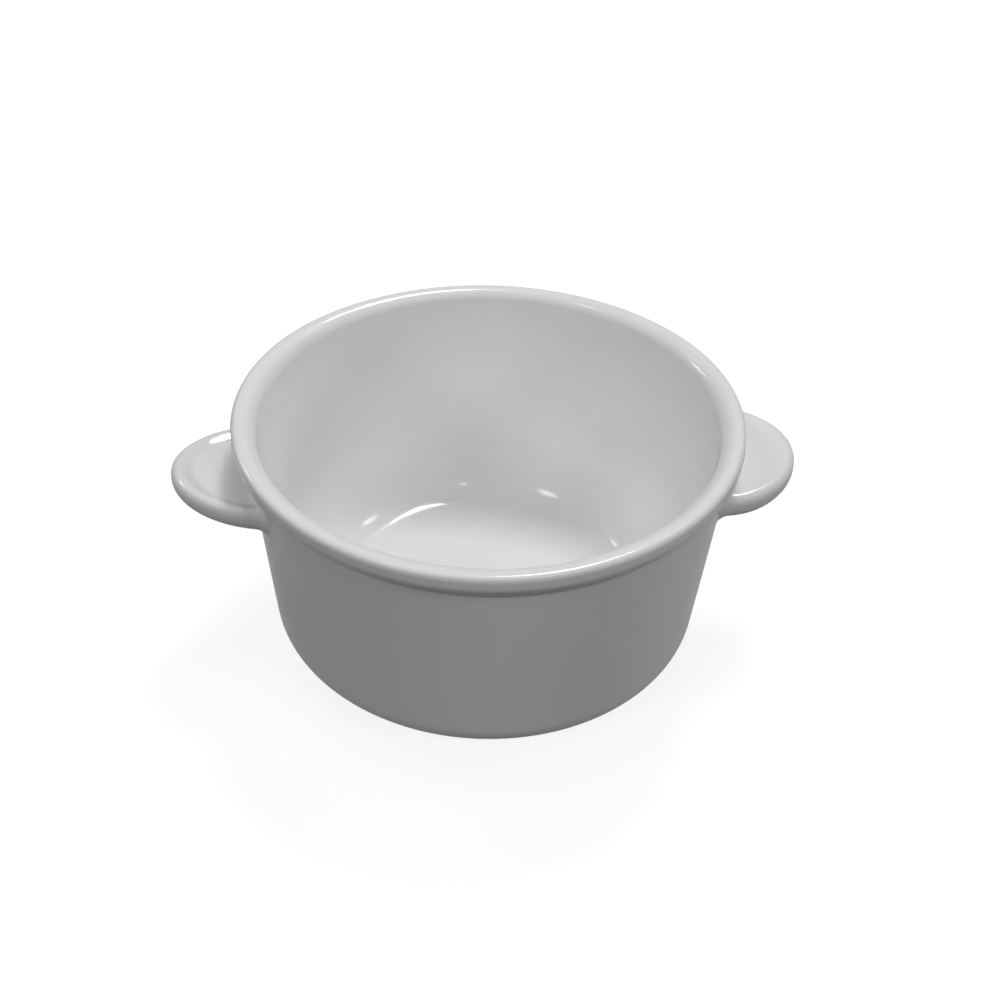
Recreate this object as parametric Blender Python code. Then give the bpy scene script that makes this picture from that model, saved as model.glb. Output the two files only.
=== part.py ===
"""Individual cazuela: a deep round oven dish with a rolled rim and two lug handles.

The bowl is one turned piece: floor, tapered wall, rolled rim and foot ring. Each lug is pressed by
itself and luted to the wall with a pad of slip, which is wiped into a fillet round the lug's root.
The bowl's axis is Z, it stands on Z = 0, and the lugs lie on the X axis.
"""

from math import cos
from math import pi
from math import sin
from math import sqrt
from math import tan

import bmesh
import bpy
from mathutils import Vector

MM = 0.001

# Bowl, driving dimensions
RIM_DIAMETER = 130.0 * MM
BOWL_HEIGHT = 64.3 * MM
RIM_OVERHANG = 3.1 * MM
RIM_HEIGHT = 4.1 * MM
RIM_UPPER_ROUND = 1.2 * MM
RIM_LOWER_ROUND = 1.2 * MM
RIM_INNER_ROUND = 4.0 * MM
RIM_NECK_ROUND = 1.4 * MM
WALL_AT_RIM = 3.0 * MM
WALL_AT_FLOOR = 4.4 * MM
WALL_TAPER = 5.35 * pi / 180
FLOOR_THICKNESS = 4.6 * MM
INNER_CORNER_ROUND = 13.0 * MM
OUTER_CORNER_ROUND = 8.8 * MM
FOOT_RING_WIDTH = 4.0 * MM
FOOT_RING_DEPTH = 1.4 * MM
FOOT_RING_ROUND = 0.6 * MM

# Lug handles, driving dimensions
LUG_PROJECTION = 20.4 * MM
LUG_WIDTH = 41.6 * MM
LUG_ROOT_FLARE = 1.4 * MM
LUG_ROOT_RUN = 9.0 * MM
LUG_THICKNESS = 6.2 * MM
LUG_BELOW_RIM = 10.1 * MM
LUG_UPPER_ROUND = 2.4 * MM
LUG_LOWER_ROUND = 3.2 * MM
LUG_BEAD_WIDTH = 3.8 * MM
LUG_DISH_DEPTH = 0.55 * MM

# Slip that lutes a lug to the wall
SLIP_THICKNESS = 0.7 * MM
SLIP_FILLET = 2.4 * MM
SLIP_LIP = 0.5 * MM
SEAM_GAP = 0.3 * MM

# Fineness of the meshes
BOWL_STEPS = 72
LUG_OUTLINE_STEPS = 32
LUG_DISH_STEPS = 6
SEAM_STATIONS = 25
SEAM_RINGS = 7
ROUND_STEP = 18 * pi / 180

# Finish
GLAZE_WHITE = (0.84, 0.84, 0.83, 1.0)
SLIP_WHITE = (0.81, 0.81, 0.80, 1.0)
GLAZE_ROUGHNESS = 0.12
SLIP_ROUGHNESS = 0.18

# Derived sizes of the bowl
RIM_RADIUS = RIM_DIAMETER / 2
NECK_HEIGHT = BOWL_HEIGHT - RIM_HEIGHT
NECK_RADIUS = RIM_RADIUS - RIM_OVERHANG
FLOOR_HEIGHT = FOOT_RING_DEPTH + FLOOR_THICKNESS

# Derived sizes of the lugs
LUG_TOP = NECK_HEIGHT - LUG_BELOW_RIM
LUG_MIDDLE = LUG_TOP - LUG_THICKNESS / 2
LUG_UNDERSIDE = LUG_TOP - LUG_THICKNESS
ROUND_SHARE = min(1.0, LUG_THICKNESS / (LUG_UPPER_ROUND + LUG_LOWER_ROUND))
UPPER_ROUND = LUG_UPPER_ROUND * ROUND_SHARE
LOWER_ROUND = LUG_LOWER_ROUND * ROUND_SHARE
CUT_MARGIN = LUG_ROOT_FLARE + 2 * SLIP_FILLET


def outer_radius(height):
    """Radius of the wall's outer face at a height."""
    return NECK_RADIUS - (NECK_HEIGHT - height) * tan(WALL_TAPER)


def inner_radius(height):
    """Radius of the wall's inner face at a height: the wall thickens from the rim to the floor."""
    depth = (BOWL_HEIGHT - height) / (BOWL_HEIGHT - FLOOR_HEIGHT)
    return outer_radius(height) - WALL_AT_RIM - (WALL_AT_FLOOR - WALL_AT_RIM) * depth


def rounded(corners):
    """Outline through (across, up, round) corners, with an arc at each corner that has a round.

    Where two arcs would meet on the straight run between them, both are drawn in to fit it.
    """
    tips = [Vector(corner[:2]) for corner in corners]
    runs = [after - before for before, after in zip(tips, tips[1:])]
    openings = [runs[i].angle(-runs[i - 1]) if 0 < i < len(runs) else pi for i in range(len(tips))]
    trims = [corner[2] / tan(opening / 2) for corner, opening in zip(corners, openings)]
    fits = [run.length / max(run.length, trims[i] + trims[i + 1]) for i, run in enumerate(runs)]
    points = [tips[0]]
    for i in range(1, len(runs)):
        round_here = corners[i][2] * min(fits[i - 1], fits[i])
        back = -runs[i - 1].normalized()
        ahead = runs[i].normalized()
        bisector = (back + ahead).normalized()
        side = (back - ahead).normalized()
        centre = tips[i] + bisector * round_here / sin(openings[i] / 2)
        turn = pi - openings[i]
        steps = max(2, round(turn / ROUND_STEP))
        for step in range(steps + 1):
            angle = turn * (0.5 - step / steps)
            points.append(centre + (side * sin(angle) - bisector * cos(angle)) * round_here)
    points.append(tips[-1])
    return points


def bowl_profile():
    """Half section from the floor's centre, up the inside, over the rim, down to the underside's centre."""
    foot_outer = outer_radius(0.0) - OUTER_CORNER_ROUND * tan((pi / 2 - WALL_TAPER) / 2)
    foot_inner = foot_outer - FOOT_RING_WIDTH
    return rounded([
        (0.0, FLOOR_HEIGHT, 0.0),
        (inner_radius(FLOOR_HEIGHT), FLOOR_HEIGHT, INNER_CORNER_ROUND),
        (inner_radius(BOWL_HEIGHT), BOWL_HEIGHT, RIM_INNER_ROUND),
        (RIM_RADIUS, BOWL_HEIGHT, RIM_UPPER_ROUND),
        (RIM_RADIUS, NECK_HEIGHT, RIM_LOWER_ROUND),
        (NECK_RADIUS, NECK_HEIGHT, RIM_NECK_ROUND),
        (outer_radius(0.0), 0.0, OUTER_CORNER_ROUND),
        (foot_inner, 0.0, FOOT_RING_ROUND),
        (foot_inner - FOOT_RING_DEPTH / 2, FOOT_RING_DEPTH, FOOT_RING_ROUND),
        (0.0, FOOT_RING_DEPTH, 0.0),
    ])


def glaze(name, colour, roughness):
    """Principled material of one piece."""
    material = bpy.data.materials.new(name)
    material.use_nodes = True
    shader = material.node_tree.nodes["Principled BSDF"]
    shader.inputs["Base Color"].default_value = colour
    shader.inputs["Roughness"].default_value = roughness
    shader.inputs["Metallic"].default_value = 0.0
    material.diffuse_color = colour
    return material


def new_piece(name, shape, material, parent, turn=0.0):
    """Object that holds a bmesh, turned about the bowl's axis."""
    bmesh.ops.recalc_face_normals(shape, faces=shape.faces)
    mesh = bpy.data.meshes.new(name)
    shape.to_mesh(mesh)
    shape.free()
    mesh.shade_smooth()
    mesh.set_sharp_from_angle(angle=pi / 5)
    piece = bpy.data.objects.new(name, mesh)
    bpy.context.collection.objects.link(piece)
    piece.parent = parent
    piece.rotation_euler.z = turn
    if material:
        mesh.materials.append(material)
    return piece


def turned(name, profile, material, parent):
    """Piece of revolution about Z, from a profile that runs down its outer side."""
    shape = bmesh.new()
    corners = [shape.verts.new((point.x, 0.0, point.y)) for point in profile]
    for first, second in zip(corners, corners[1:]):
        shape.edges.new((first, second))
    piece = new_piece(name, shape, material, parent)
    screw = piece.modifiers.new("turning", "SCREW")
    screw.axis = "Z"
    screw.steps = BOWL_STEPS
    screw.render_steps = BOWL_STEPS
    screw.use_merge_vertices = True
    screw.merge_threshold = 0.00001
    screw.use_smooth_shade = True
    return piece


def cutter(piece):
    """Marks a piece as one that only cuts."""
    piece.hide_render = True
    piece.display_type = "WIRE"
    return piece


def cut(piece, tool):
    """Takes a cutter's volume away from a piece."""
    boolean = piece.modifiers.new("cut_by_" + tool.name, "BOOLEAN")
    boolean.operation = "DIFFERENCE"
    boolean.solver = "EXACT"
    boolean.object = tool


def wall_cutter(name, grow, parent):
    """The bowl's outer wall as a plain cone, grown outwards, round the height of the lugs."""
    low = LUG_UNDERSIDE - CUT_MARGIN
    high = LUG_TOP + CUT_MARGIN
    spread = grow / cos(WALL_TAPER)
    profile = [
        Vector((0.0, high)),
        Vector((outer_radius(high) + spread, high)),
        Vector((outer_radius(low) + spread, low)),
        Vector((0.0, low)),
    ]
    return cutter(turned(name, profile, None, parent))


def root_flare(stand_off):
    """How much a lug spreads to each side at a distance from the wall: it runs out in a hollow curve."""
    share = min(1.0, max(0.0, stand_off / LUG_ROOT_RUN))
    return LUG_ROOT_FLARE * (1 - share) ** 2


def lug_outline(inset):
    """Plan of a lug: a half ellipse bent round the wall, spread at its root, that runs on into the wall."""
    wall = outer_radius(LUG_MIDDLE)
    reach = LUG_PROJECTION - inset
    half_width = LUG_WIDTH / 2 - inset
    sides = []
    for step in range(LUG_OUTLINE_STEPS + 1):
        angle = pi * (step / LUG_OUTLINE_STEPS - 0.5)
        stand_off = reach * cos(angle)
        across = (half_width + root_flare(stand_off)) * sin(angle)
        sides.append((sqrt((wall + stand_off) ** 2 - across ** 2), across))
    back = sides[0][0] - CUT_MARGIN
    return [(back, sides[0][1]), *sides, (back, sides[-1][1])]


def lug_section():
    """Edge of a lug as (inset, height) steps, from its underside round the edge to the dished top."""
    edge = rounded([
        (LOWER_ROUND, LUG_UNDERSIDE, 0.0),
        (0.0, LUG_UNDERSIDE, LOWER_ROUND),
        (0.0, LUG_TOP, UPPER_ROUND),
        (UPPER_ROUND, LUG_TOP, 0.0),
    ])
    section = [(point.x, point.y) for point in edge[1:-1]]
    for step in range(1, LUG_DISH_STEPS + 1):
        share = step / LUG_DISH_STEPS
        dip = LUG_DISH_DEPTH * (1 - cos(pi * share)) / 2
        section.append((UPPER_ROUND + LUG_BEAD_WIDTH * share, LUG_TOP - dip))
    return section


def lug_shape(grow):
    """Solid lug, grown on every side by a clearance, that runs on into the wall."""
    shape = bmesh.new()
    rings = []
    for inset, height in lug_section():
        lift = grow if height > LUG_MIDDLE else -grow
        level = height + lift
        rings.append([shape.verts.new((x, y, level)) for x, y in lug_outline(inset - grow)])
    for lower, upper in zip(rings, rings[1:]):
        for index in range(len(lower)):
            after = (index + 1) % len(lower)
            shape.faces.new((lower[index], lower[after], upper[after], upper[index]))
    shape.faces.new(rings[0])
    shape.faces.new(rings[-1])
    return shape


def seam_shape():
    """Slip round a lug's root: the lug's own section, flared towards the wall in a hollow curve."""
    shape = bmesh.new()
    rings = []
    for ring in range(-1, SEAM_RINGS + 1):
        share = ring / SEAM_RINGS
        stand_off = SLIP_FILLET * share
        flare = SLIP_LIP + SEAM_GAP + SLIP_FILLET * max(0.0, 1 - share) ** 2
        lug_side = (LUG_WIDTH / 2 + root_flare(stand_off)) * sqrt(1 - (stand_off / LUG_PROJECTION) ** 2)
        half_width = lug_side + flare
        upper_round = UPPER_ROUND + flare
        lower_round = LOWER_ROUND + flare
        upper = []
        lower = []
        for station in range(SEAM_STATIONS):
            across = -half_width * cos(pi * station / (SEAM_STATIONS - 1))
            upper_reach = max(0.0, abs(across) - half_width + upper_round)
            lower_reach = max(0.0, abs(across) - half_width + lower_round)
            upper_drop = upper_round - sqrt(max(0.0, upper_round ** 2 - upper_reach ** 2))
            lower_rise = lower_round - sqrt(max(0.0, lower_round ** 2 - lower_reach ** 2))
            for row, height in (
                (upper, LUG_TOP + flare - upper_drop),
                (lower, LUG_UNDERSIDE - flare + lower_rise),
            ):
                out = outer_radius(height) + stand_off
                row.append(shape.verts.new((sqrt(out ** 2 - across ** 2), across, height)))
        rings.append((upper, lower))
    loops = [upper + lower[::-1] for upper, lower in rings]
    for inner, outer in zip(loops, loops[1:]):
        for index in range(len(inner)):
            after = (index + 1) % len(inner)
            shape.faces.new((inner[index], inner[after], outer[after], outer[index]))
    for upper, lower in (rings[0], rings[-1]):
        for index in range(SEAM_STATIONS - 1):
            shape.faces.new((upper[index], upper[index + 1], lower[index + 1], lower[index]))
    return shape


def clear_scene():
    """Removes everything that the scene starts with."""
    for thing in list(bpy.data.objects):
        bpy.data.objects.remove(thing)


def main():
    clear_scene()
    dish = bpy.data.objects.new("cazuela", None)
    bpy.context.collection.objects.link(dish)

    turned("bowl_body", bowl_profile(), glaze("bowl_glaze", GLAZE_WHITE, GLAZE_ROUGHNESS), dish)

    wall = wall_cutter("wall_and_gap", SEAM_GAP, dish)
    pad = wall_cutter("wall_and_pad", SEAM_GAP + SLIP_THICKNESS, dish)
    root = wall_cutter("wall_and_root", SEAM_GAP + SLIP_THICKNESS + SEAM_GAP, dish)
    for side, turn in (("right", 0.0), ("left", pi)):
        lug_glaze = glaze("lug_glaze_" + side, GLAZE_WHITE, GLAZE_ROUGHNESS)
        lug = new_piece("lug_handle_" + side, lug_shape(0.0), lug_glaze, dish, turn)
        cut(lug, root)

        socket = cutter(new_piece("lug_socket_" + side, lug_shape(SEAM_GAP), None, dish, turn))
        cut(socket, pad)

        slip_glaze = glaze("slip_glaze_" + side, SLIP_WHITE, SLIP_ROUGHNESS)
        seam = new_piece("slip_seam_" + side, seam_shape(), slip_glaze, dish, turn)
        cut(seam, wall)
        cut(seam, socket)


main()
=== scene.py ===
# %% [markdown]
# # A small oven dish in white glaze
# A cazuela for one portion is a deep round bowl with a rolled rim and a flat lug on each side. The
# solids in the frame have its true sizes, but their facets would show in a glossy glaze. So this
# lesson lays a fine, smooth surface over each solid, glazes it, and sets it on a white table under
# soft light.

from math import cos, pi, radians, sin, tan

import bpy
import numpy as np
from mathutils import Matrix, Vector


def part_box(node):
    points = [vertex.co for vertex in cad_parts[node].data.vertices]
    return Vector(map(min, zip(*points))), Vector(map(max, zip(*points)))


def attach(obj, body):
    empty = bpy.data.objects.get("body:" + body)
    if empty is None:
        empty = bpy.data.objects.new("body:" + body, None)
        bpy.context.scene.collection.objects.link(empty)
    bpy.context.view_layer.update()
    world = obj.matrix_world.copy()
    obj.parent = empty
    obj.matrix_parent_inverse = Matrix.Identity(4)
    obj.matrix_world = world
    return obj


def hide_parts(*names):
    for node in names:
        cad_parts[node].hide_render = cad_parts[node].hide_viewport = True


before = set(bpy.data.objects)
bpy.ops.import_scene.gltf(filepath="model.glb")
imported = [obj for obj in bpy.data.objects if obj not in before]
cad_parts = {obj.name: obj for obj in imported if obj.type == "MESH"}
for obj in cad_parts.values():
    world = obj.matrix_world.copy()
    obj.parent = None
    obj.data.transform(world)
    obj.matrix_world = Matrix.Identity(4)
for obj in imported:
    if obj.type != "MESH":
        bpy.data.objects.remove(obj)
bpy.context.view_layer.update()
print("solids:", sorted(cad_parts))

# %% [markdown]
# ## Sizes
# A potter would take a caliper to the bowl and the lugs. The outer sizes can be read from the
# solids in the frame, so they are not typed again. What a box can't tell, such as the wall and the
# rounds, is written here once.

# %% Sizes of the bowl and the lugs
MM = 0.001
bowl_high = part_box("bowl_body")[1]
lug_low, lug_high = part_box("lug_handle_right")

RIM_RADIUS = bowl_high.x
BOWL_HEIGHT = bowl_high.z
RIM_OVERHANG = 3.1 * MM
RIM_HEIGHT = 4.1 * MM
WALL_AT_RIM = 3.0 * MM
WALL_AT_FLOOR = 4.4 * MM
WALL_SLOPE = radians(5.35)
WALL_TAPER = tan(WALL_SLOPE)
FLOOR_THICKNESS = 4.6 * MM
FOOT_RING_WIDTH = 4.0 * MM
FOOT_RING_DEPTH = 1.4 * MM

NECK_RADIUS = RIM_RADIUS - RIM_OVERHANG
NECK_HEIGHT = BOWL_HEIGHT - RIM_HEIGHT
FLOOR_HEIGHT = FOOT_RING_DEPTH + FLOOR_THICKNESS
LUG_TOP = lug_high.z
LUG_UNDERSIDE = lug_low.z
LUG_MIDDLE = (LUG_TOP + LUG_UNDERSIDE) / 2


def outer_radius(height):
    """Radius of the wall's outer face at a height."""
    return NECK_RADIUS - (NECK_HEIGHT - height) * WALL_TAPER


def inner_radius(height):
    """Radius of the wall's inner face at a height."""
    depth = (BOWL_HEIGHT - height) / (BOWL_HEIGHT - FLOOR_HEIGHT)
    return outer_radius(height) - WALL_AT_RIM - (WALL_AT_FLOOR - WALL_AT_RIM) * depth


LUG_PROJECTION = lug_high.x - outer_radius(LUG_MIDDLE)
print(f"rim radius {RIM_RADIUS / MM:.1f} mm, height {BOWL_HEIGHT / MM:.1f} mm")
print(f"a lug stands out {LUG_PROJECTION / MM:.1f} mm")

# %% [markdown]
# ## The camera
# The view is a little to the left of the line between the lugs and looks down into the bowl. The
# horizon in a hand-held picture is seldom level, so the camera also leans by two degrees. A matrix
# made of three turns says this more plainly than a tracking constraint: first the lean, then the
# look down, then the walk round the dish.

# %% Place the camera
CAMERA_PLACE = Vector((-34.65, -296.90, 267.21)) * MM
CAMERA_WALK = radians(-7.30)
CAMERA_LOOK_DOWN = radians(37.76)
CAMERA_LEAN = radians(2.27)
CAMERA_LENS = 51.48
CAMERA_SENSOR = 36.0
CAMERA_NEAREST = 10 * MM

camera_lens = bpy.data.cameras.new("view")
camera_lens.lens = CAMERA_LENS
camera_lens.sensor_width = CAMERA_SENSOR
camera_lens.clip_start = CAMERA_NEAREST
camera = bpy.data.objects.new("view", camera_lens)
bpy.context.scene.collection.objects.link(camera)
turns = (
    Matrix.Rotation(CAMERA_WALK, 4, "Z")
    @ Matrix.Rotation(pi / 2 - CAMERA_LOOK_DOWN, 4, "X")
    @ Matrix.Rotation(CAMERA_LEAN, 4, "Z")
)
camera.matrix_world = Matrix.Translation(CAMERA_PLACE) @ turns
bpy.context.scene.camera = camera
bpy.context.scene.view_settings.view_transform = "Standard"
print(f"camera {CAMERA_PLACE.length:.3f} m from the foot's centre, lens {CAMERA_LENS:.1f} mm")

# %% [markdown]
# ## Writing shaders as sums
# A glaze is a mix of many small effects, and dozens of node lines hide what it does. So one small
# class wraps a socket: adding or multiplying two of them adds the Math node, and `1 - mask` works
# too. Every other node comes from one method, which sets the node up first and then fills its
# sockets.

# %% A socket that can be reckoned with
class Wire:
    """An output socket. Sums on it add Math nodes to its tree."""

    def __init__(self, mixture, socket):
        self.mixture = mixture
        self.socket = socket

    def maths(self, operation, first, second):
        """A Math node on two wires or numbers."""
        return self.mixture.add("ShaderNodeMath", {"operation": operation}, {0: first, 1: second})

    def __add__(self, other):
        return self.maths("ADD", self, other)

    def __radd__(self, other):
        return self.maths("ADD", other, self)

    def __sub__(self, other):
        return self.maths("SUBTRACT", self, other)

    def __rsub__(self, other):
        return self.maths("SUBTRACT", other, self)

    def __mul__(self, other):
        return self.maths("MULTIPLY", self, other)

    def __rmul__(self, other):
        return self.maths("MULTIPLY", other, self)

    def __gt__(self, other):
        return self.maths("GREATER_THAN", self, other)


class Mixture:
    """A node tree that is filled by one method."""

    def __init__(self, tree):
        self.tree = tree
        self.tree.nodes.clear()

    def add(self, kind, settings=None, sockets=None, out=0):
        """A node of a kind, set up, with its sockets filled by values or by wires."""
        node = self.tree.nodes.new(kind)
        for name, value in (settings or {}).items():
            setattr(node, name, value)
        for name, value in (sockets or {}).items():
            if isinstance(value, Wire):
                self.tree.links.new(value.socket, node.inputs[name])
            else:
                node.inputs[name].default_value = value
        return Wire(self, node.outputs[out]) if len(node.outputs) else node


operators = ("__add__", "__radd__", "__sub__", "__rsub__", "__mul__", "__rmul__", "__gt__")
print("a wire knows", [name for name in operators if name in vars(Wire)])

# %% [markdown]
# ## The table
# The dish stands on a plain white table. A table that is lit to full white would throw so much
# light back that the shaded side of the dish went pale. So the camera sees a white table that keeps
# the dish's soft shadow, the glaze mirrors it at part of its strength, and the light that bounces
# meets a dark one.

# %% Lay the table
TABLE_SIZE = 6.0
TABLE_CLEARANCE = 0.05 * MM
TABLE_BOUNCE = (0.03, 0.03, 0.03, 1.0)
TABLE_GLOW = 0.84
TABLE_SHADOW_TONE = (0.24, 0.24, 0.24, 1.0)
TABLE_MIRRORED = 0.35
PLAIN_WHITE = (1.0, 1.0, 1.0, 1.0)


def seen_directly(mixture, mirrored):
    """1 on rays from the camera or through glass, a part on reflections, 0 on bouncing light."""
    camera_ray = mixture.add("ShaderNodeLightPath", out="Is Camera Ray")
    glossy_ray = mixture.add("ShaderNodeLightPath", out="Is Glossy Ray")
    clear_ray = mixture.add("ShaderNodeLightPath", out="Is Transmission Ray")
    return camera_ray + clear_ray + glossy_ray * mirrored


table_mesh = bpy.data.meshes.new("table")
reach = TABLE_SIZE / 2
table_plan = ((-1, -1), (1, -1), (1, 1), (-1, 1))
table_corners = [(x * reach, y * reach, -TABLE_CLEARANCE) for x, y in table_plan]
table_mesh.from_pydata(table_corners, [], [(0, 1, 2, 3)])
table = bpy.data.objects.new("table", table_mesh)
bpy.context.scene.collection.objects.link(table)
table_white = bpy.data.materials.new("table_white")
table_white.use_nodes = True
paint = Mixture(table_white.node_tree)
bounce = paint.add("ShaderNodeBsdfDiffuse", None, {"Color": TABLE_BOUNCE})
shade = paint.add("ShaderNodeBsdfDiffuse", None, {"Color": TABLE_SHADOW_TONE})
glow = paint.add("ShaderNodeEmission", None, {"Color": PLAIN_WHITE, "Strength": TABLE_GLOW})
white = paint.add("ShaderNodeAddShader", None, {0: shade, 1: glow})
seen = seen_directly(paint, TABLE_MIRRORED)
both = paint.add("ShaderNodeMixShader", None, {0: seen, 1: bounce, 2: white})
paint.add("ShaderNodeOutputMaterial", None, {"Surface": both})
table_mesh.materials.append(table_white)
print("table", TABLE_SIZE, "m wide")

# %% [markdown]
# ## The light
# Light from behind makes the rim and the floor of the dish bright and leaves the near side in
# shade. A studio has one large bright source for that, and pale walls that fill in from all round.
# One dome of sky would do both, but then neither could be set by itself. So seven wide soft lamps
# stand for the walls. They leave no mirror image, because a wall has no edge that would show in a
# glaze.

# %% Set up the soft lamps
SOFT_SPREAD = radians(14)
SOFT_DISTANCE = 2.0
SOFT_LAMPS = {
    "soft_overhead": (0, 85, 0.118),
    "soft_right": (72, 15, 0.138),
    "soft_front_right": (120, 30, 0.124),
    "soft_high_right": (144, 45, 0.084),
    "soft_front": (192, 45, 0.180),
    "soft_left": (240, 30, 0.153),
    "soft_behind_left": (312, 45, 0.125),
}


def towards(compass, height):
    """Direction of a lamp from its compass point, counted from behind the dish, and its height."""
    flat = cos(radians(height))
    return Vector((sin(radians(compass)) * flat, cos(radians(compass)) * flat, sin(radians(height))))


def hang(name, light, direction, distance):
    """A lamp that hangs some way off and looks at the dish."""
    thing = bpy.data.objects.new(name, light)
    thing.location = direction * distance
    thing.rotation_euler = direction.to_track_quat("Z", "Y").to_euler()
    bpy.context.scene.collection.objects.link(thing)
    return thing


for name, (compass, height, strength) in SOFT_LAMPS.items():
    light = bpy.data.lights.new(name, "SUN")
    light.angle = SOFT_SPREAD
    light.energy = strength * pi
    lamp = hang(name, light, towards(compass, height), SOFT_DISTANCE)
    lamp.visible_glossy = False
print("soft lamps:", list(SOFT_LAMPS))

# %% [markdown]
# ## The key lamp and the panes
# The bright source behind the dish is a flat lamp. It lights the dish, and the glaze mirrors it in
# long white streaks on the rim, the lugs and the floor. A few small panes are only mirrored and
# light nothing. They leave the short marks that tell the eye that the surface is glass.

# %% Set up the key lamp and the panes
KEY_DIRECTION = towards(22, 59.5)
KEY_STRENGTH = 0.41
KEY_DISTANCE = 4.0
KEY_ACROSS = 0.85
KEY_TALL = 0.84
KEY_BRIGHTNESS = KEY_STRENGTH * pi * KEY_DISTANCE ** 2 / (KEY_ACROSS * KEY_TALL)
PANE_DISTANCE = 1.2
PANE_BRIGHTNESS = 8.0
PANES = {
    "pane_right": (54.7, 51.9, 0.09, 0.10),
    "pane_left": (-32, 47, 0.06, 0.06),
    "pane_low_left": (-48.4, 32, 0.20, 0.14),
    "pane_overhead": (110.6, 82.2, 0.07, 0.06),
    "pane_overhead_left": (-73, 72.3, 0.13, 0.10),
}


def bright_pane(name, direction, distance, across, tall, brightness):
    """A flat rectangular lamp of an even brightness."""
    light = bpy.data.lights.new(name, "AREA")
    light.shape = "RECTANGLE"
    light.size = across
    light.size_y = tall
    light.energy = brightness * pi * across * tall
    return hang(name, light, direction, distance)


bright_pane("key_behind", KEY_DIRECTION, KEY_DISTANCE, KEY_ACROSS, KEY_TALL, KEY_BRIGHTNESS)
for name, (compass, height, across, tall) in PANES.items():
    direction = towards(compass, height)
    pane = bright_pane(name, direction, PANE_DISTANCE, across, tall, PANE_BRIGHTNESS)
    pane.visible_diffuse = False
print("key lamp and panes:", ["key_behind"] + list(PANES))

# %% [markdown]
# ## The room
# Behind the table the camera sees plain white, as it would a paper backdrop. The glaze mirrors that
# white only faintly, and no light comes from it. A real sheet of paper would need lamps of its own,
# and these would also light the dish.

# %% Paint the room white
ROOM_MIRRORED = 0.10

world = bpy.data.worlds.new("room")
world.use_nodes = True
bpy.context.scene.world = world
air = Mixture(world.node_tree)
seen = seen_directly(air, ROOM_MIRRORED)
room = air.add("ShaderNodeBackground", None, {"Color": PLAIN_WHITE, "Strength": seen})
air.add("ShaderNodeOutputWorld", None, {"Surface": room})
print("room nodes:", len(world.node_tree.nodes))

# %% [markdown]
# ## The glaze
# White glaze is a skin of glass over pale clay. It runs off sharp edges, where the clay shows
# through a little, and gathers in hollows, where it looks deeper. Its skin is never quite flat: it
# has a slow swell, a fine orange-peel and a few pinholes. A picture could carry all that, but it
# would smear on a turned shape. Noise in the dish's own space has no seams, and where the glaze is
# thin or deep is known from the shape itself.

# %% Colours and skin of the glaze
GLAZE_WHITE = (0.80, 0.80, 0.795, 1.0)
CLAY_UNDER_GLAZE = (0.71, 0.70, 0.685, 1.0)
DEEP_GLAZE = (0.767, 0.772, 0.772, 1.0)
BARE_CLAY = (0.58, 0.555, 0.52, 1.0)
PINHOLE_TONE = (0.52, 0.51, 0.50, 1.0)
THIN_LEAST, THIN_CLOUDED = 0.10, 0.30
DEEP_LEAST, DEEP_DRIFTED = 0.25, 0.50
CLOUD_LEVEL, CLOUD_SHADE = 0.35, 0.22
PINHOLE_SHADE = 0.35
BASE_ROUGHNESS = 0.07
DRIFT_ROUGHNESS = 0.05
THIN_ROUGHNESS = 0.05
BARE_ROUGHNESS = 0.62
CLOUDS_PER_METRE = 38.0
DRIFTS_PER_METRE = 90.0
PEEL_PER_METRE = 720.0
GRIT_PER_METRE = 1500.0
PINHOLE_CELLS_PER_METRE = 150.0
CELLS_WITHOUT_PINHOLE = 0.93
PINHOLE_EDGE = (0.012, 0.03)
WIPED_EDGE = (0.45, 0.6)
WIPED_RAGGED = 0.5
SWELL_HEIGHT = 0.03 * MM
PEEL_HEIGHT = 0.0035 * MM
GRIT_HEIGHT = 0.06 * MM
PINHOLE_DEPTH = 0.02 * MM
GLAZE_IOR = 1.52
print("glaze", GLAZE_WHITE[:3], "over clay", BARE_CLAY[:3])

# %% Mix the glaze
def blend_colours(mixture, share, first, second):
    """A colour that goes from the first to the second as a share goes from 0 to 1."""
    sockets = {0: share, 6: first, 7: second}
    return mixture.add("ShaderNodeMix", {"data_type": "RGBA"}, sockets, out=2)


def noise(mixture, place, per_metre, detail):
    """Cloudy noise from 0 to 1, with so many clouds to the metre."""
    sockets = {"Vector": place, "Scale": per_metre, "Detail": detail}
    return mixture.add("ShaderNodeTexNoise", None, sockets, out=0)


def soft_step(mixture, value, low, high):
    """0 below low, 1 above high, and smooth between."""
    sockets = {"Value": value, "From Min": low, "From Max": high}
    return mixture.add("ShaderNodeMapRange", {"interpolation_type": "SMOOTHSTEP"}, sockets)


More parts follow.
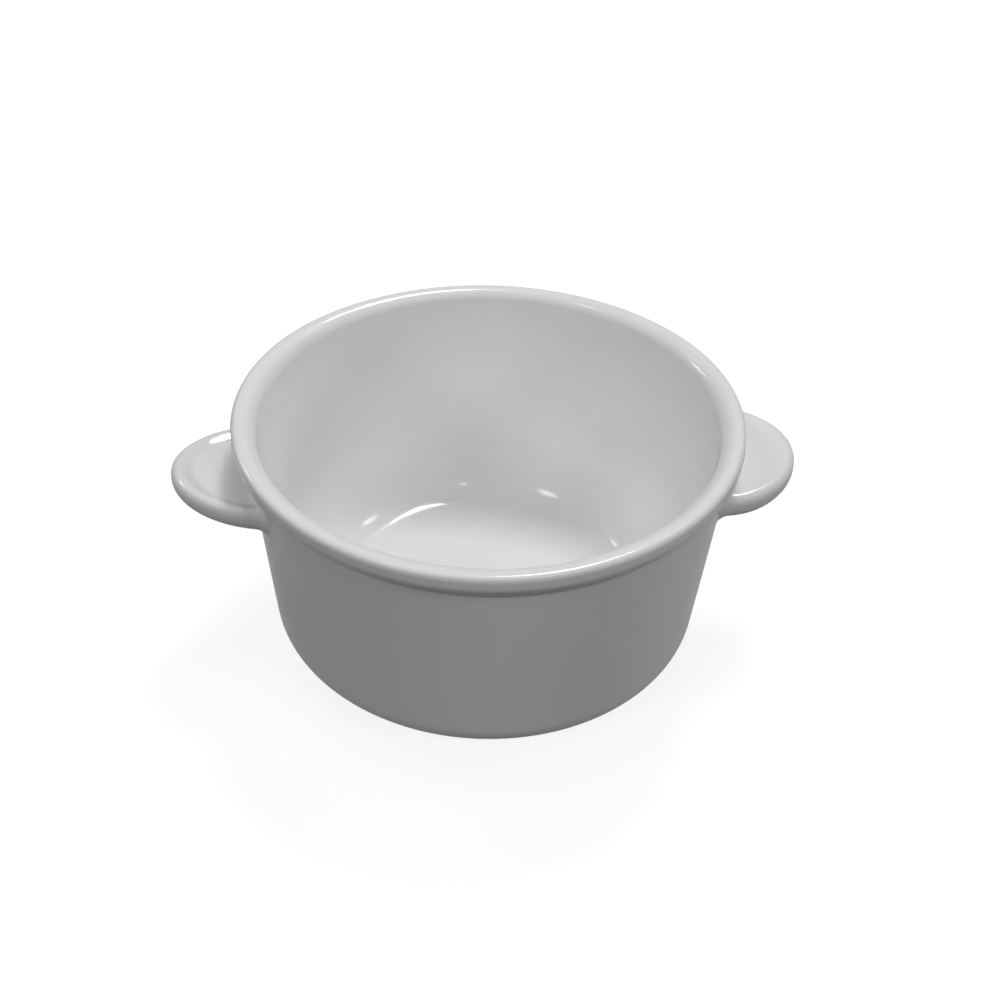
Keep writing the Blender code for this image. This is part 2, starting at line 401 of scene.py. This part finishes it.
def white_glaze(name):
    """Glaze that is thin, deep or wiped off where the shape says so."""
    material = bpy.data.materials.new(name)
    material.use_nodes = True
    mix = Mixture(material.node_tree)
    place = mix.add("ShaderNodeTexCoord", out="Object")
    thin = mix.add("ShaderNodeAttribute", {"attribute_name": "thin_glaze"}, out="Fac")
    deep = mix.add("ShaderNodeAttribute", {"attribute_name": "deep_glaze"}, out="Fac")
    wiped = mix.add("ShaderNodeAttribute", {"attribute_name": "wiped_clay"}, out="Fac")

    cloud = noise(mix, place, CLOUDS_PER_METRE, 3.0)
    drift = noise(mix, place, DRIFTS_PER_METRE, 2.0)
    peel = noise(mix, place, PEEL_PER_METRE, 1.0)
    grit = noise(mix, place, GRIT_PER_METRE, 4.0)
    bare = soft_step(mix, wiped + (drift - 0.5) * WIPED_RAGGED, *WIPED_EDGE)

    cells = {"Vector": place, "Scale": PINHOLE_CELLS_PER_METRE}
    pit_distance = mix.add("ShaderNodeTexVoronoi", {"feature": "F1"}, cells, out="Distance")
    pit_colour = mix.add("ShaderNodeTexVoronoi", {"feature": "F1"}, cells, out="Color")
    chance = mix.add("ShaderNodeSeparateColor", None, {0: pit_colour}, out=0)
    pit = 1.0 - soft_step(mix, pit_distance, *PINHOLE_EDGE)
    pinhole = pit * (chance > CELLS_WITHOUT_PINHOLE)

    shows_clay = thin * (THIN_LEAST + THIN_CLOUDED * cloud)
    shows_depth = deep * (DEEP_LEAST + DEEP_DRIFTED * drift)
    colour = blend_colours(mix, shows_clay, GLAZE_WHITE, CLAY_UNDER_GLAZE)
    colour = blend_colours(mix, shows_depth, colour, DEEP_GLAZE)
    colour = blend_colours(mix, (cloud - CLOUD_LEVEL) * CLOUD_SHADE, colour, DEEP_GLAZE)
    colour = blend_colours(mix, pinhole * PINHOLE_SHADE, colour, PINHOLE_TONE)
    colour = blend_colours(mix, bare, colour, BARE_CLAY)
    rough = BASE_ROUGHNESS + DRIFT_ROUGHNESS * drift + THIN_ROUGHNESS * thin + BARE_ROUGHNESS * bare
    skin = SWELL_HEIGHT * cloud + PEEL_HEIGHT * peel
    skin = skin - PINHOLE_DEPTH * pinhole + GRIT_HEIGHT * bare * grit
    heights = {"Strength": 1.0, "Distance": 1.0, "Height": skin}
    relief = mix.add("ShaderNodeBump", None, heights, out="Normal")
    look = {"Base Color": colour, "Roughness": rough, "Normal": relief, "IOR": GLAZE_IOR}
    surface = mix.add("ShaderNodeBsdfPrincipled", None, look)
    mix.add("ShaderNodeOutputMaterial", None, {"Surface": surface})
    return material


glazes = {name: white_glaze(name) for name in ("bowl_glaze", "lug_glaze", "slip_glaze")}
print("glazes:", {name: len(glaze.node_tree.nodes) for name, glaze in glazes.items()})

# %% [markdown]
# ## A breath of warp
# A kiln leaves no dish perfectly round. The bowl is a tenth of a millimetre or two out of true, and
# its lip more than half a millimetre. Such a wave could be pushed in by hand, but written as a sum
# of sines it is the same on each run. All pieces go through the same warp, so that they still meet.

# %% Bend a point as the kiln does
WARP = 0.10 * MM
SQUEEZE = 0.22 * MM
FOOT_SHIFT = 0.20 * MM
RIM_OVAL = 0.38 * MM
RIM_THREE_SIDED = 0.31 * MM
RIM_DRAWN_IN = 0.08 * MM
RIM_ASIDE = Vector((-0.15, 0.06)) * MM
LIP_POWER = 6


def warped(points):
    """Points moved by the kiln: the rim is squeezed, the lip waves, the foot stands aside."""
    x, y, z = points.T
    angle = np.arctan2(y, x)
    share = np.clip(z / BOWL_HEIGHT, 0.0, 1.0)
    high = share ** 2
    near_lip = share ** LIP_POWER
    wave = RIM_OVAL * np.sin(2 * angle + 0.17) + RIM_THREE_SIDED * np.sin(3 * angle) - RIM_DRAWN_IN
    out = 1.0 + (WARP * high * np.sin(3 * angle + 2.1) + wave * near_lip) / RIM_RADIUS
    lift = WARP * high * (np.sin(2 * angle + 1.9) + 0.5 * np.sin(5 * angle + 0.4))
    aside = FOOT_SHIFT * (1 - share) - x / RIM_RADIUS * SQUEEZE * high + RIM_ASIDE.x * near_lip
    return np.column_stack((x * out + aside, y * out + RIM_ASIDE.y * near_lip, z + lift))


ring = np.radians(np.arange(360))
lip_height = np.full(len(ring), BOWL_HEIGHT)
lip = np.column_stack((RIM_RADIUS * np.cos(ring), RIM_RADIUS * np.sin(ring), lip_height))
moved = np.hypot(*warped(lip).T[:2]) - RIM_RADIUS
print(f"lip moved by {moved.min() / MM:.2f} to {moved.max() / MM:.2f} mm")

# %% [markdown]
# ## A piece of the dish
# Each piece is a mesh whose points also carry how the glaze lies on them. Blender's objects could
# be set up by hand one by one, but one function gives all of them the same setup: smooth faces,
# glaze tones, a material, the body that it rides on and the solid that it stands for.

# %% Make a piece
def make_piece(name, points, faces, tones, slot, node, normals=None):
    """A smooth mesh in the frame, with its glaze tones, that stands for one solid."""
    mesh = bpy.data.meshes.new(name)
    mesh.from_pydata([tuple(point) for point in points], [], faces)
    mesh.shade_smooth()
    for tone, values in tones.items():
        layer = mesh.attributes.new(tone, "FLOAT", "POINT")
        layer.data.foreach_set("value", np.asarray(values, np.float32))
    if normals is not None:
        mesh.normals_split_custom_set_from_vertices([tuple(normal) for normal in normals])
    mesh.materials.append(glazes[slot])
    piece = bpy.data.objects.new(name, mesh)
    bpy.context.scene.collection.objects.link(piece)
    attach(piece, "root")
    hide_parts(node)
    print(f"{name}: {len(mesh.vertices)} points, {len(mesh.polygons)} faces, for {node}")
    return piece


print("slots:", list(glazes))

# %% [markdown]
# ## The bowl
# The bowl is thrown or jiggered on a wheel, so one line, turned once round, gives all of it: floor,
# wall, rolled rim, neck and foot ring. The rim is turned under in a soft slope, which makes the
# wide dark line below the lip. A lathe modifier would do, but the turned grid is written out,
# because each point then keeps what the line knows about it: how sharply it bends, and so how the
# glaze lies there.

# %% Draw the bowl's line
ARC_STEP = radians(5)
LONGEST_RUN = 2.0 * MM


def rounded(corners):
    """A line through (across, up, round) corners, with an arc at each one that has a round."""
    tips = [Vector(corner[:2]) for corner in corners]
    line = [tips[0]]
    for before, tip, after, corner in zip(tips, tips[1:], tips[2:], corners[1:]):
        back = (before - tip).normalized()
        ahead = (after - tip).normalized()
        opening = back.angle(ahead)
        bisector = (back + ahead).normalized()
        side = (back - ahead).normalized()
        centre = tip + bisector * corner[2] / sin(opening / 2)
        steps = max(2, round((pi - opening) / ARC_STEP))
        for step in range(steps + 1):
            angle = (pi - opening) * (0.5 - step / steps)
            line.append(centre + (side * sin(angle) - bisector * cos(angle)) * corner[2])
    line.append(tips[-1])
    return line


def fine(line):
    """The same line with its long runs cut into short ones."""
    points = [line[0]]
    for before, after in zip(line, line[1:]):
        cuts = max(1, int(np.ceil((after - before).length / LONGEST_RUN)))
        points += [before.lerp(after, cut / cuts) for cut in range(1, cuts + 1)]
    return np.array(points)


INNER_CORNER_ROUND = 25.0 * MM
OUTER_CORNER_ROUND = 8.8 * MM
RIM_INNER_ROUND = 4.0 * MM
RIM_TOP_ROUND = 1.5 * MM
RIM_LIP_ROUND = 3.2 * MM
RIM_FOOT_ROUND = 1.6 * MM
FOOT_RING_ROUND = 0.6 * MM
RIM_TURN_UNDER = 60.4 * MM
RIM_FOOT = 56.2 * MM
foot_outer = outer_radius(0.0) - OUTER_CORNER_ROUND * tan((pi / 2 - WALL_SLOPE) / 2)
foot_inner = foot_outer - FOOT_RING_WIDTH
bowl_line = fine(rounded([
    (0.0, FLOOR_HEIGHT, 0.0),
    (inner_radius(FLOOR_HEIGHT), FLOOR_HEIGHT, INNER_CORNER_ROUND),
    (inner_radius(BOWL_HEIGHT), BOWL_HEIGHT, RIM_INNER_ROUND),
    (RIM_RADIUS, BOWL_HEIGHT, RIM_TOP_ROUND),
    (RIM_RADIUS, RIM_TURN_UNDER, RIM_LIP_ROUND),
    (outer_radius(RIM_FOOT), RIM_FOOT, RIM_FOOT_ROUND),
    (outer_radius(0.0), 0.0, OUTER_CORNER_ROUND),
    (foot_inner, 0.0, FOOT_RING_ROUND),
    (foot_inner - FOOT_RING_DEPTH / 2, FOOT_RING_DEPTH, FOOT_RING_ROUND),
    (0.0, FOOT_RING_DEPTH, 0.0),
]))
print("bowl line:", len(bowl_line), "points")

# %% Where the glaze runs thin and deep along the line
THIN_SPREAD = 0.6 * MM
THIN_BEND = 1.6 * MM
DEEP_SPREAD = 2.5 * MM
DEEP_BEND = 9.0 * MM
WIPED_HEIGHT = 0.35 * MM

steps_along = np.diff(bowl_line, axis=0)
run_lengths = np.hypot(*steps_along.T)
headings = np.unwrap(np.arctan2(steps_along[:, 1], steps_along[:, 0]))
along = np.concatenate(([0.0], np.cumsum(run_lengths)))
bends = np.zeros(len(bowl_line))
bends[1:-1] = np.diff(headings) / ((run_lengths[1:] + run_lengths[:-1]) / 2)


def spread(values, width):
    """Values along the line, softened over a width."""
    weights = np.exp(-((along[:, None] - along[None, :]) / width) ** 2)
    weights *= np.gradient(along)[None, :]
    return weights @ values / weights.sum(axis=1)


line_thin = np.clip(spread(np.maximum(-bends, 0.0), THIN_SPREAD) * THIN_BEND, 0.0, 1.0)
line_deep = np.clip(spread(np.maximum(bends, 0.0), DEEP_SPREAD) * DEEP_BEND, 0.0, 1.0)
line_wiped = (bowl_line[:, 1] < WIPED_HEIGHT) & (bowl_line[:, 0] > foot_inner - MM)
print(f"thin to {line_thin.max():.2f}, deep to {line_deep.max():.2f}, wiped {line_wiped.sum()} points")

# %% Turn the line round
BOWL_STEPS = 224


def turned(line, steps):
    """Points and faces of a line that starts and ends on the axis, turned once round."""
    angles = np.arange(steps) * 2 * pi / steps
    body = line[1:-1]
    ring_x = np.outer(body[:, 0], np.cos(angles))
    ring_y = np.outer(body[:, 0], np.sin(angles))
    ring_z = np.repeat(body[:, 1:2], steps, axis=1)
    points = np.stack((ring_x, ring_y, ring_z), axis=2).reshape(-1, 3)
    points = np.vstack((points, [(0.0, 0.0, line[0][1]), (0.0, 0.0, line[-1][1])]))
    rows = len(body)
    first, last = rows * steps, rows * steps + 1
    faces = []
    for column in range(steps):
        after = (column + 1) % steps
        faces.append((first, column, after))
        for row in range(rows - 1):
            a, b = row * steps, (row + 1) * steps
            faces.append((a + column, b + column, b + after, a + after))
        faces.append((last, (rows - 1) * steps + after, (rows - 1) * steps + column))
    return points, faces


def turned_tone(values, steps):
    """A tone of the line, repeated round the turn."""
    return np.concatenate((np.repeat(values[1:-1], steps), [values[0], values[-1]]))


bowl_points, bowl_faces = turned(bowl_line, BOWL_STEPS)
bowl_tones = {
    "thin_glaze": turned_tone(line_thin, BOWL_STEPS),
    "deep_glaze": turned_tone(line_deep, BOWL_STEPS),
    "wiped_clay": turned_tone(line_wiped, BOWL_STEPS),
}
make_piece("glazed_bowl", warped(bowl_points), bowl_faces, bowl_tones, "bowl_glaze", "bowl_body")

# %% [markdown]
# ## The lugs
# Each lug is a flat half-round tab for a thumb and finger. Its edge is left a little proud, so its
# top is dished. It is pressed in a mould and luted on by hand with slip, so no two sit quite alike:
# each is a little twisted and raised. The plan is a half ellipse bent round the wall, and the edge
# is a section that is swept along it. A boolean of lug and bowl would leave a hard crease, so the
# lug is laid out flat as a grid and its root is then drawn out into the slip's curve.

# %% The lug's plan and edge
LUG_UPPER_ROUND = 2.4 * MM
LUG_LOWER_ROUND = 3.2 * MM
LUG_BEAD_WIDTH = 3.8 * MM
LUG_FLARE_RUN = 14.0 * MM
LUG_STEPS = 112
DISH_ROWS = 14
BEAD_ROWS = 14
BELLY_ROWS = 12
UPPER_ROWS = 16
LOWER_ROWS = 18
CREST_THIN = 0.35
EDGE_THIN = 0.45
DISH_DEEP = 0.5


def lug_edge(dish):
    """A section of the lug's edge, from its dish over the bead to the belly.

    Each row is (inset, height, thin, deep).
    """
    rows = []
    for share in np.linspace(1.0, 0.0, BEAD_ROWS, endpoint=False):
        inset = LUG_UPPER_ROUND + LUG_BEAD_WIDTH * share
        height = LUG_TOP - dish * (1 - cos(pi * share)) / 2
        rows.append((inset, height, CREST_THIN * (1 - share), DISH_DEEP * sin(pi * share)))
    for angle in np.linspace(0.0, pi / 2, UPPER_ROWS):
        inset = LUG_UPPER_ROUND * (1 - sin(angle))
        height = LUG_TOP - LUG_UPPER_ROUND * (1 - cos(angle))
        rows.append((inset, height, CREST_THIN + EDGE_THIN * sin(2 * angle), 0.0))
    for angle in np.linspace(0.0, pi / 2, LOWER_ROWS):
        inset = LUG_LOWER_ROUND * (1 - cos(angle))
        height = LUG_UNDERSIDE + LUG_LOWER_ROUND * (1 - sin(angle))
        rows.append((inset, height, CREST_THIN * cos(angle), 0.0))
    return np.array(rows)


def lug_grid(reach, halves, flares, twist, rise, dish):
    """Rows of (stand-off, across, height, thin, deep), from the wall over the lug and back below.

    The halves are the lug's widths to each side of its middle, and the flares are how much each
    spreads at the root. The rise lifts the tip, and the twist lifts one side.
    """
    angles = np.linspace(-pi / 2, pi / 2, LUG_STEPS + 1)
    half = np.where(angles < 0, halves[0], halves[1])
    flare = np.where(angles < 0, flares[0], flares[1])
    rows = []
    for inset, height, thin, deep in lug_edge(dish):
        stand_off = (reach - inset) * np.cos(angles)
        spread_out = flare * np.clip(1 - stand_off / LUG_FLARE_RUN, 0.0, 1.0) ** 2
        across = (half - inset + spread_out) * np.sin(angles)
        level = np.tile((height, thin, deep), (len(angles), 1))
        rows.append(np.column_stack((stand_off, across, level)))
    inwards = np.linspace(0.0, 1.0, DISH_ROWS, endpoint=False)
    outwards = np.linspace(1.0, 0.0, BELLY_ROWS + 1)[1:]
    top = [rows[0] * (share, 1, 1, 1, 1) for share in inwards]
    belly = [rows[-1] * (share, 1, 1, 1, 1) for share in outwards]
    grid = np.array(top + rows + belly)
    grid[:, :, 2] += tan(twist) * grid[:, :, 1] + tan(rise) * grid[:, :, 0]
    return grid


print("lug edge:", len(lug_edge(0.0)), "rows")

# %% Lay out both lugs
right_lug = lug_grid(
    reach=20.1 * MM, halves=(21.2 * MM, 17.8 * MM), flares=(-1.1 * MM, 1.5 * MM),
    twist=radians(7), rise=radians(1), dish=0.06 * MM,
)
left_lug = lug_grid(
    reach=20.3 * MM, halves=(20.2 * MM, 23.1 * MM), flares=(0.3 * MM, 0.2 * MM),
    twist=radians(4), rise=radians(3), dish=0.85 * MM,
)
LUGS = {"right": (0.0, right_lug), "left": (pi, left_lug)}
rows, columns = right_lug.shape[:2]
print("lug grid:", rows, "rows and", columns, "columns")

# %% [markdown]
# ## The slip round the root
# Slip is wet clay that glues the lug to the bowl. A wet finger wipes it into a hollow curve, a
# little longer at the lug's sides than above and below it. On two faces that meet in a corner, such
# a curve is easy to write: a point that is some way from the corner moves off both faces by an
# amount that fades out with the square of that way. The same rule draws the lug's root out and
# pulls a skirt of slip up from the wall, so both meet in one smooth curve.

# %% Points of the lug on the wall
SLIP_LEVEL = 2.6 * MM
SLIP_SIDE = 2.8 * MM
WALL_FADE = 8.0 * MM
NO_LENGTH = 1e-20


def wall_normal(points):
    """The wall's outward direction beside each point."""
    angle = np.arctan2(points[:, 1], points[:, 0])
    down = np.full(len(points), -WALL_TAPER)
    normal = np.column_stack((np.cos(angle), np.sin(angle), down))
    return normal / np.linalg.norm(normal, axis=1)[:, None]


def on_wall(stand_off, across, height):
    """Points of the frame from their distance off the wall, their place across it and their height."""
    fade = np.clip(stand_off / WALL_FADE, 0.0, 1.0)
    fade = fade * fade * (3 - 2 * fade)
    radius = outer_radius(height) * (1 - fade) + outer_radius(LUG_MIDDLE) * fade + stand_off
    return np.column_stack((np.sqrt(radius ** 2 - across ** 2), across, height))


def vertex_normals(points, faces):
    """Directions of the points, from the faces round each."""
    totals = np.zeros_like(points)
    for face in faces:
        corners = points[list(face)]
        totals[list(face)] += np.cross(corners[2] - corners[0], corners[-1] - corners[1])
    return totals / np.maximum(np.linalg.norm(totals, axis=1)[:, None], NO_LENGTH)


print(f"slip runs out {SLIP_LEVEL / MM:.1f} to {SLIP_SIDE / MM:.1f} mm")

# %% Faces of the lug and the loop round its root
index = np.arange(rows * columns).reshape(rows, columns)
index[:DISH_ROWS, [0, -1]] = index[DISH_ROWS, [0, -1]]
index[rows - BELLY_ROWS:, [0, -1]] = index[rows - BELLY_ROWS - 1, [0, -1]]
quads = np.stack((index[:-1, :-1], index[1:, :-1], index[1:, 1:], index[:-1, 1:]), axis=2)
lug_faces = [tuple(dict.fromkeys(quad)) for quad in quads.reshape(-1, 4).tolist()]
lug_faces = [face for face in lug_faces if len(face) > 2]
edge = index[DISH_ROWS:rows - BELLY_ROWS]
root_loop = np.concatenate((index[0, :-1], edge[:-1, -1], index[-1, :0:-1], edge[:0:-1, 0]))
root_loop = np.array(list(dict.fromkeys(root_loop.tolist())))
print("lug faces:", len(lug_faces), "root loop:", len(root_loop), "points")

# %% Draw the root out and pull the slip up
SKIRT_ROWS = 9
SKIRT_SINK = 0.06 * MM
ROOT_SINK = 0.4 * MM


def slip_reach(normals, walls):
    """How far the slip runs out: more at the lug's sides than above and below it."""
    sideways = walls[:, 0] * normals[:, 1] - walls[:, 1] * normals[:, 0]
    return SLIP_LEVEL + (SLIP_SIDE - SLIP_LEVEL) * sideways ** 2


def luted_lug(grid):
    """Points of a lug on +X, its slip and its root in the wall, and how far the slip is drawn."""
    grid = grid.reshape(-1, 5)
    stand_off = grid[:, 0]
    points = on_wall(stand_off, grid[:, 1], grid[:, 2])
    normals = vertex_normals(points, lug_faces)
    walls = wall_normal(points)
    far = slip_reach(normals, walls)
    draw = far / 4 * np.clip(1 - stand_off / far, 0.0, 1.0) ** 2
    lug_points = points + draw[:, None] * (normals + walls)
    deep = draw / far * 4

    base, walls, far = points[root_loop], walls[root_loop], far[root_loop]
    away = normals[root_loop] - walls * np.sum(normals[root_loop] * walls, axis=1)[:, None]
    away /= np.linalg.norm(away, axis=1)[:, None]
    skirt = [lug_points[root_loop]]
    for row in range(1, SKIRT_ROWS + 1):
        share = row / SKIRT_ROWS
        spot = base + away * (far * share)[:, None]
        angle = np.arctan2(spot[:, 1], spot[:, 0])
        radius = outer_radius(spot[:, 2])
        spot = np.column_stack((radius * np.cos(angle), radius * np.sin(angle), spot[:, 2]))
        rise = far / 4 * (1 - share) ** 2
        sink = SKIRT_SINK if row == SKIRT_ROWS else 0.0
        skirt.append(spot + rise[:, None] * (walls + away) - sink * wall_normal(spot))
    return lug_points, np.vstack(skirt), base - walls * ROOT_SINK, deep


print("skirt:", SKIRT_ROWS, "rows of", len(root_loop), "points")

# %% [markdown]
# ## Closing the pieces
# A lug that ended at the wall would be an open shell. On the real dish, clay runs into clay there,
# so the lug and its slip each end a little way inside the wall, where a ring of hidden points
# closes them. Blender could fill the holes by itself, but faces of its choice might cut through the
# glaze.

# %% Close the lug and the slip in the wall
count = len(root_loop)


def band(first, second):
    """Faces between two rings of points that run round the root."""
    return [(first[i - 1], first[i], second[i], second[i - 1]) for i in range(count)]


slip_rings = np.arange((SKIRT_ROWS + 2) * count).reshape(-1, count).tolist()
slip_faces = []
for row in range(SKIRT_ROWS):
    slip_faces += band(slip_rings[row], slip_rings[row + 1])
slip_back = band(slip_rings[-2], slip_rings[-1]) + band(slip_rings[-1], slip_rings[0])
root_ring = (rows * columns + np.arange(count)).tolist()
root_middle = rows * columns + count
lug_back = band(root_loop.tolist(), root_ring)
lug_back += [(root_ring[i - 1], root_ring[i], root_middle) for i in range(count)]
print("slip faces:", len(slip_faces), "hidden faces:", len(slip_back) + len(lug_back))

# %% [markdown]
# ## Both lugs on the bowl
# The glaze runs over lug and slip without a seam. Two meshes that meet would show one, because each
# has its own smooth shading up to its edge. So the directions of all points are taken from lug and
# slip as one surface, and at the skirt's foot from the wall, and are then given to both.

# %% How the glaze lies on lug and slip
SLIP_DEEP = 0.6


def tones_of_lug(grid, drawn):
    """Glaze tones of a lug's points and of the hidden ones in the wall."""
    hidden = np.zeros(count + 1)
    thin = grid[:, :, 3].ravel()
    deep = np.maximum(grid[:, :, 4].ravel(), SLIP_DEEP * drawn)
    return {
        "thin_glaze": np.concatenate((thin, hidden)),
        "deep_glaze": np.concatenate((deep, hidden)),
        "wiped_clay": np.zeros(len(thin) + len(hidden)),
    }


fade = np.append((1 - np.arange(SKIRT_ROWS + 1) / SKIRT_ROWS) ** 2, 0.0).repeat(count)
none = np.zeros(len(fade))
slip_tones = {"thin_glaze": none, "wiped_clay": none, "deep_glaze": SLIP_DEEP * fade}
print("slip tones:", list(slip_tones), "on", len(fade), "points")

# %% Lute both lugs on
def turned_about_axis(points, turn):
    """Points or directions turned about the bowl's axis."""
    return points @ np.array(Matrix.Rotation(turn, 3, "Z")).T


for side, (turn, grid) in LUGS.items():
    lug_points, slip_points, root_points, drawn = luted_lug(grid)
    whole = np.vstack((lug_points, slip_points[count:]))
    join = np.concatenate((root_loop, len(lug_points) + np.arange(len(slip_points) - count)))
    whole_faces = lug_faces + [tuple(join[list(face)]) for face in slip_faces]
    normals = vertex_normals(whole, whole_faces)
    normals[join[-2 * count:]] = wall_normal(slip_points[-2 * count:])
    root_points = np.vstack((root_points, root_points.mean(axis=0)))
    root_normals = -wall_normal(root_points)

    lug_tones = tones_of_lug(grid, drawn)
    points = turned_about_axis(np.vstack((lug_points, root_points)), turn)
    ways = turned_about_axis(np.vstack((normals[:len(lug_points)], root_normals)), turn)
    name, node = "glazed_lug_" + side, "lug_handle_" + side
    make_piece(name, warped(points), lug_faces + lug_back, lug_tones, "lug_glaze", node, ways)
    points = turned_about_axis(np.vstack((slip_points, root_points[:-1])), turn)
    ways = turned_about_axis(np.vstack((normals[join], root_normals[:-1])), turn)
    name, node = "wiped_slip_" + side, "slip_seam_" + side
    make_piece(name, warped(points), slip_faces + slip_back, slip_tones, "slip_glaze", node, ways)

# %% [markdown]
# ## The last look
# The dressed dish must be the size of the solids.
